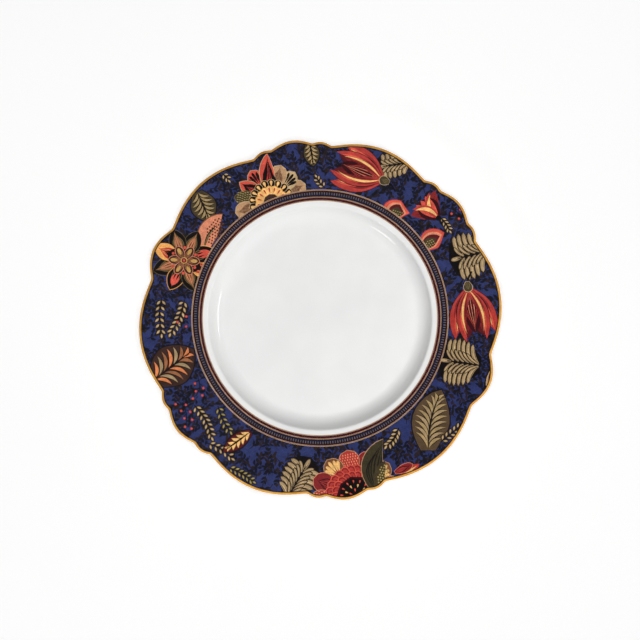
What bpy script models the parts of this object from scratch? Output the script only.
"""China dinner plate, 270 mm across, with a scalloped gilt edge and a printed rim.

It runs in Blender 4.5, as blender --background --python part.py or from the text editor. Lengths are
in metres and +Z is up. The plate stands on its foot ring at z = 0, with the Z axis through the middle
of its outline. It is made in layers, as the real one is: a fired clay body, glaze over it, and prints
and gold on the glaze.
"""

import math

import bmesh
import bpy

# The outline, from above. Six big lobes meet at two single scallops and four triple ones.
RIM_RADIUS = 0.1350
NOTCH_DEPTH = 0.0056
SHALLOW_NOTCH_DEPTH = 0.0038
TRIPLE_AXES = (40.0, 99.5, 217.5, 278.7)
TRIPLE_HALF_ANGLE = 13.1
TRIPLE_MIDDLE_HALF_ANGLE = 6.9
SINGLE_AXES = (157.5, 339.5)
SINGLE_HALF_ANGLE = 9.1
BIG_BULGE = 0.0056
SINGLE_BULGE = 0.0055
MIDDLE_BULGE = 0.0035
SMALL_BULGE = 0.0017
BIG_STEPS = 10
SINGLE_STEPS = 6
MIDDLE_STEPS = 4
SMALL_STEPS = 4

# The layers, each with the gap under it
LAYER_GAP = 0.00010
GLAZE_THICKNESS = 0.00025
PRINT_THICKNESS = 0.00015
GLAZE_UNDER = LAYER_GAP
GLAZE_TOP = GLAZE_UNDER + GLAZE_THICKNESS
PRINT_UNDER = GLAZE_TOP + LAYER_GAP
PRINT_TOP = PRINT_UNDER + PRINT_THICKNESS

# The well and the foot ring were turned a little off the outline's middle.
WELL_CENTRE = (-0.0004, 0.0013)

# The section of the clay body, from the middle of the well outwards
WELL_RADIUS = 0.0710
FLOOR_TOP = 0.0080
COVE_RADIUS = 0.0140
COVE_ANGLE = 58.0
COVE_STEPS = 4
SHOULDER_RADIUS = 0.0022
SHOULDER_STEPS = 2
RIM_SLOPE = 7.0
RIM_INNER_RADIUS = 0.0960
LIP_RADIUS = 0.0013
LIP_STEPS = 4
WALL_THICKNESS = 0.0040
UNDERCOVE_START_ANGLE = 48.0
UNDERCOVE_END_ANGLE = 22.0
UNDERCOVE_STEPS = 2
UNDERSHOULDER_RADIUS = 0.0080
UNDERSHOULDER_SLOPE = 8.0
UNDERSHOULDER_STEPS = 2

# The foot ring and the recess inside it
FOOT_OUTER_RADIUS = 0.0756
FOOT_INNER_RADIUS = 0.0726
FOOT_CHAMFER_HEIGHT = 0.0009
FOOT_CHAMFER_WIDTH = 0.0006
RECESS_RADIUS = 0.0702
RECESS_HEIGHT = 0.0030
GLAZE_STOP_HEIGHT = 0.0013

# The decoration, as radii of its circles, and insets from the outline at the edge
INNER_LINE = (0.0870, 0.0876)
MAROON_BAND = (0.0878, 0.0893)
MIDDLE_LINE = (0.0895, 0.0902)
NAVY_BAND = (0.0904, 0.0948)
OUTER_LINE = (0.0950, 0.0957)
PRINT_INNER_RADIUS = 0.0960
PRINT_INSET = 0.00240
GILT_INSET = 0.00215
GILT_WRAP_ANGLE = -80.0
BACKSTAMP = (0.0105, 0.0120)


def lobes():
    """The lobes in order round the plate, as (start angle, start radius, bulge, steps)."""
    deep = RIM_RADIUS - NOTCH_DEPTH
    shallow = RIM_RADIUS - SHALLOW_NOTCH_DEPTH
    found = []
    for axis in TRIPLE_AXES:
        found.append((axis - TRIPLE_HALF_ANGLE, deep, SMALL_BULGE, SMALL_STEPS))
        found.append((axis - TRIPLE_MIDDLE_HALF_ANGLE, shallow, MIDDLE_BULGE, MIDDLE_STEPS))
        found.append((axis + TRIPLE_MIDDLE_HALF_ANGLE, shallow, SMALL_BULGE, SMALL_STEPS))
        found.append((axis + TRIPLE_HALF_ANGLE, deep, BIG_BULGE, BIG_STEPS))
    for axis in SINGLE_AXES:
        found.append((axis - SINGLE_HALF_ANGLE, deep, SINGLE_BULGE, SINGLE_STEPS))
        found.append((axis + SINGLE_HALF_ANGLE, deep, BIG_BULGE, BIG_STEPS))
    return sorted(found)


def sample_outline():
    """The outline's points, as (angle in radians, radius), with every lobe split into its steps."""
    found = lobes()
    samples = []
    for index, (start, radius, bulge, steps) in enumerate(found):
        following = found[(index + 1) % len(found)]
        end = following[0] + (360.0 if following[0] < start else 0.0)
        for step in range(steps):
            share = step / steps
            angle = start + (end - start) * share
            chord = radius + (following[1] - radius) * share
            samples.append((math.radians(angle), chord + bulge * math.sin(math.pi * share)))
    return samples


OUTLINE = sample_outline()
SLOPE = math.radians(RIM_SLOPE)


def shoulder_centre():
    """The centre, as (radius, height), of the rounding between the well's wall and the rim."""
    angle = math.radians(COVE_ANGLE)
    reach = COVE_RADIUS + SHOULDER_RADIUS
    radius = WELL_RADIUS + reach * math.sin(angle)
    height = FLOOR_TOP + COVE_RADIUS - reach * math.cos(angle)
    return radius, height


def rim_height(radius, offset):
    """The height of the sloping rim at a radius from the well's centre, raised square to it by an offset."""
    centre_radius, centre_height = shoulder_centre()
    rise = (radius - centre_radius) * math.tan(SLOPE)
    return centre_height + rise + (SHOULDER_RADIUS + offset) / math.cos(SLOPE)


def from_well(x, y):
    return math.hypot(x - WELL_CENTRE[0], y - WELL_CENTRE[1])


def circle(radius, height):
    """A ring of points round the well's centre, at every other angle of the outline."""
    x, y = WELL_CENTRE
    return [
        (x + radius * math.cos(angle), y + radius * math.sin(angle), height)
        for angle, _ in OUTLINE[::2]
    ]


def rim_circle(radius, offset):
    return circle(radius, rim_height(radius, offset))


def rim_contour(inset, offset):
    """A ring on the rim that follows the outline, inset from it."""
    ring = []
    for angle, outer in OUTLINE:
        x = (outer - inset) * math.cos(angle)
        y = (outer - inset) * math.sin(angle)
        ring.append((x, y, rim_height(from_well(x, y), offset)))
    return ring


def lip_ring(direction, offset):
    """A ring round the lip, in a direction in degrees: 90 is its top, 0 its outermost line."""
    angle_in_section = math.radians(direction)
    ring = []
    for angle, outer in OUTLINE:
        centre_radius = outer - PRINT_TOP - LIP_RADIUS
        centre_x = centre_radius * math.cos(angle)
        centre_y = centre_radius * math.sin(angle)
        centre_height = rim_height(from_well(centre_x, centre_y), -LIP_RADIUS)
        radius = centre_radius + (LIP_RADIUS + offset) * math.cos(angle_in_section)
        height = centre_height + (LIP_RADIUS + offset) * math.sin(angle_in_section)
        ring.append((radius * math.cos(angle), radius * math.sin(angle), height))
    return ring


def lip_rings(offset, start=90.0 + RIM_SLOPE, end=RIM_SLOPE - 90.0, steps=LIP_STEPS):
    return [lip_ring(start + (end - start) * step / steps, offset) for step in range(steps + 1)]


def face_rings(offset):
    """The upper surface from the edge of the well's floor to the rim's inner circle."""
    rings = []
    for step in range(COVE_STEPS + 1):
        angle = math.radians(COVE_ANGLE * step / COVE_STEPS)
        radius = WELL_RADIUS + (COVE_RADIUS - offset) * math.sin(angle)
        height = FLOOR_TOP + COVE_RADIUS - (COVE_RADIUS - offset) * math.cos(angle)
        rings.append(circle(radius, height))
    centre_radius, centre_height = shoulder_centre()
    for step in range(1, SHOULDER_STEPS + 1):
        angle = math.radians(COVE_ANGLE + (RIM_SLOPE - COVE_ANGLE) * step / SHOULDER_STEPS)
        radius = centre_radius - (SHOULDER_RADIUS + offset) * math.sin(angle)
        height = centre_height + (SHOULDER_RADIUS + offset) * math.cos(angle)
        rings.append(circle(radius, height))
    rings.append(rim_circle(RIM_INNER_RADIUS, offset))
    return rings


def back_rings(offset):
    """The under surface from below the shoulder inwards to the top of the foot ring."""
    reach = COVE_RADIUS + WALL_THICKNESS
    start = math.radians(UNDERCOVE_START_ANGLE)
    fillet = UNDERSHOULDER_RADIUS
    centre_radius = WELL_RADIUS + (reach + fillet) * math.sin(start)
    centre_height = FLOOR_TOP + COVE_RADIUS - (reach + fillet) * math.cos(start)
    rings = []
    for step in range(UNDERSHOULDER_STEPS):
        share = step / UNDERSHOULDER_STEPS
        sweep = UNDERCOVE_START_ANGLE - UNDERSHOULDER_SLOPE
        angle = math.radians(UNDERSHOULDER_SLOPE + sweep * share)
        radius = centre_radius - (fillet - offset) * math.sin(angle)
        height = centre_height + (fillet - offset) * math.cos(angle)
        rings.append(circle(radius, height))
    for step in range(UNDERCOVE_STEPS + 1):
        share = step / UNDERCOVE_STEPS
        sweep = UNDERCOVE_END_ANGLE - UNDERCOVE_START_ANGLE
        angle = math.radians(UNDERCOVE_START_ANGLE + sweep * share)
        radius = WELL_RADIUS + (reach + offset) * math.sin(angle)
        height = FLOOR_TOP + COVE_RADIUS - (reach + offset) * math.cos(angle)
        rings.append(circle(radius, height))
    return rings


def foot_outer_radius(height):
    """The radius of the foot ring's outer wall, between its sole and the under surface."""
    reach = COVE_RADIUS + WALL_THICKNESS
    end = math.radians(UNDERCOVE_END_ANGLE)
    top_radius = WELL_RADIUS + reach * math.sin(end)
    top_height = FLOOR_TOP + COVE_RADIUS - reach * math.cos(end)
    low_radius = FOOT_OUTER_RADIUS + FOOT_CHAMFER_WIDTH
    share = (height - FOOT_CHAMFER_HEIGHT) / (top_height - FOOT_CHAMFER_HEIGHT)
    return low_radius + (top_radius - low_radius) * share


def foot_inner_radius(height):
    """The radius of the foot ring's inner wall, between its sole and the recess."""
    low_radius = FOOT_INNER_RADIUS - FOOT_CHAMFER_WIDTH
    share = (height - FOOT_CHAMFER_HEIGHT) / (RECESS_HEIGHT - FOOT_CHAMFER_HEIGHT)
    return low_radius + (RECESS_RADIUS - low_radius) * share


def bridge(mesh, first, second):
    """Joins two rings. Where one has twice the points of the other, three triangles fill each step."""
    if len(first) > len(second):
        first, second = second, first
    count = len(first)
    for index in range(count):
        following = (index + 1) % count
        if len(second) == count:
            mesh.faces.new((first[index], first[following], second[following], second[index]))
            continue
        near, middle, far = (second[(2 * index + extra) % len(second)] for extra in range(3))
        mesh.faces.new((first[index], middle, near))
        mesh.faces.new((first[index], first[following], middle))
        mesh.faces.new((first[following], far, middle))


def add_part(name, rings, material, hollow):
    """One closed solid from its rings. A hollow one joins its last ring to its first, and any other
    has a flat face inside each of those two rings."""
    mesh = bmesh.new()
    loops = [[mesh.verts.new(point) for point in ring] for ring in rings]
    for first, second in zip(loops, loops[1:]):
        bridge(mesh, first, second)
    if hollow:
        bridge(mesh, loops[-1], loops[0])
    else:
        mesh.faces.new(loops[0])
        mesh.faces.new(loops[-1])
    bmesh.ops.recalc_face_normals(mesh, faces=mesh.faces)
    data = bpy.data.meshes.new(name)
    mesh.to_mesh(data)
    mesh.free()
    data.shade_smooth()
    data.set_sharp_from_angle(angle=math.radians(35.0))
    data.materials.append(material)
    part = bpy.data.objects.new(name, data)
    bpy.context.scene.collection.objects.link(part)
    return part


def make_material(name, colour, roughness, metallic=0.0, coat=0.0):
    material = bpy.data.materials.new(name)
    material.use_nodes = True
    shader = material.node_tree.nodes["Principled BSDF"]
    shader.inputs["Base Color"].default_value = (*colour, 1.0)
    shader.inputs["Roughness"].default_value = roughness
    shader.inputs["Metallic"].default_value = metallic
    shader.inputs["Coat Weight"].default_value = coat
    return material


def add_porcelain_body(material):
    rings = face_rings(0.0)
    rings += lip_rings(0.0)
    rings += back_rings(0.0)
    rings.append(circle(foot_outer_radius(FOOT_CHAMFER_HEIGHT), FOOT_CHAMFER_HEIGHT))
    rings.append(circle(FOOT_OUTER_RADIUS, 0.0))
    rings.append(circle(FOOT_INNER_RADIUS, 0.0))
    rings.append(circle(foot_inner_radius(FOOT_CHAMFER_HEIGHT), FOOT_CHAMFER_HEIGHT))
    rings.append(circle(RECESS_RADIUS, RECESS_HEIGHT))
    add_part("porcelain_body", rings, material, hollow=False)


def add_glaze_coat(material):
    """Glaze over the face, round the lip and down the back, wiped off above the foot ring's sole."""
    stop_radius = foot_outer_radius(GLAZE_STOP_HEIGHT)
    outer = face_rings(GLAZE_TOP) + lip_rings(GLAZE_TOP) + back_rings(GLAZE_TOP)
    outer.append(circle(stop_radius + GLAZE_TOP, GLAZE_STOP_HEIGHT))
    inner = face_rings(GLAZE_UNDER) + lip_rings(GLAZE_UNDER) + back_rings(GLAZE_UNDER)
    inner.append(circle(stop_radius + GLAZE_UNDER, GLAZE_STOP_HEIGHT))
    add_part("glaze_coat", outer + inner[::-1], material, hollow=False)


def add_base_glaze(material):
    """Glaze in the recess, with a low wall up against the inside of the foot ring."""
    stop_radius = foot_inner_radius(GLAZE_STOP_HEIGHT)
    rings = [
        circle(RECESS_RADIUS - GLAZE_UNDER, RECESS_HEIGHT - GLAZE_UNDER),
        circle(stop_radius - GLAZE_UNDER, GLAZE_STOP_HEIGHT),
        circle(stop_radius - GLAZE_TOP, GLAZE_STOP_HEIGHT),
        circle(RECESS_RADIUS - GLAZE_TOP, RECESS_HEIGHT - GLAZE_TOP),
    ]
    add_part("base_glaze", rings, material, hollow=False)


def add_band(name, radii, material):
    """A printed or painted ring on the rim, between two circles."""
    inner, outer = radii
    rings = [
        rim_circle(inner, PRINT_TOP),
        rim_circle(outer, PRINT_TOP),
        rim_circle(outer, PRINT_UNDER),
        rim_circle(inner, PRINT_UNDER),
    ]
    add_part(name, rings, material, hollow=True)


def add_rim_print(material):
    rings = [
        rim_circle(PRINT_INNER_RADIUS, PRINT_TOP),
        rim_contour(PRINT_INSET, PRINT_TOP),
        rim_contour(PRINT_INSET, PRINT_UNDER),
        rim_circle(PRINT_INNER_RADIUS, PRINT_UNDER),
    ]
    add_part("rim_print", rings, material, hollow=True)


def add_gilt_edge(material):
    """Gold over the outline's last few millimetres, round the lip and just onto the back."""
    outer = [rim_contour(GILT_INSET, PRINT_TOP)]
    outer += lip_rings(PRINT_TOP, end=GILT_WRAP_ANGLE)
    inner = [rim_contour(GILT_INSET, PRINT_UNDER)]
    inner += lip_rings(PRINT_UNDER, end=GILT_WRAP_ANGLE)
    add_part("gilt_edge", outer + inner[::-1], material, hollow=True)


def add_backstamp(material):
    """A plain gold ring in the middle of the recess."""
    inner, outer = BACKSTAMP
    upper = RECESS_HEIGHT - PRINT_UNDER
    lower = RECESS_HEIGHT - PRINT_TOP
    rings = [
        circle(inner, upper),
        circle(outer, upper),
        circle(outer, lower),
        circle(inner, lower),
    ]
    add_part("backstamp_ring", rings, material, hollow=True)


def main():
    for leftover in list(bpy.data.objects):
        bpy.data.objects.remove(leftover, do_unlink=True)
    clay = make_material("fired_clay", (0.78, 0.76, 0.72), roughness=0.75)
    glaze = make_material("white_glaze", (0.82, 0.81, 0.81), roughness=0.08, coat=1.0)
    gold = make_material("gold", (0.80, 0.50, 0.16), roughness=0.25, metallic=1.0)
    blue = make_material("blue_print", (0.022, 0.034, 0.156), roughness=0.15, coat=1.0)
    maroon = make_material("maroon_print", (0.127, 0.010, 0.013), roughness=0.15, coat=1.0)
    navy = make_material("navy_print", (0.020, 0.025, 0.050), roughness=0.15, coat=1.0)
    add_porcelain_body(clay)
    add_glaze_coat(glaze)
    add_base_glaze(glaze)
    add_band("inner_gold_line", INNER_LINE, gold)
    add_band("maroon_band", MAROON_BAND, maroon)
    add_band("middle_gold_line", MIDDLE_LINE, gold)
    add_band("navy_band", NAVY_BAND, navy)
    add_band("outer_gold_line", OUTER_LINE, gold)
    add_rim_print(blue)
    add_gilt_edge(gold)
    add_backstamp(gold)


main()
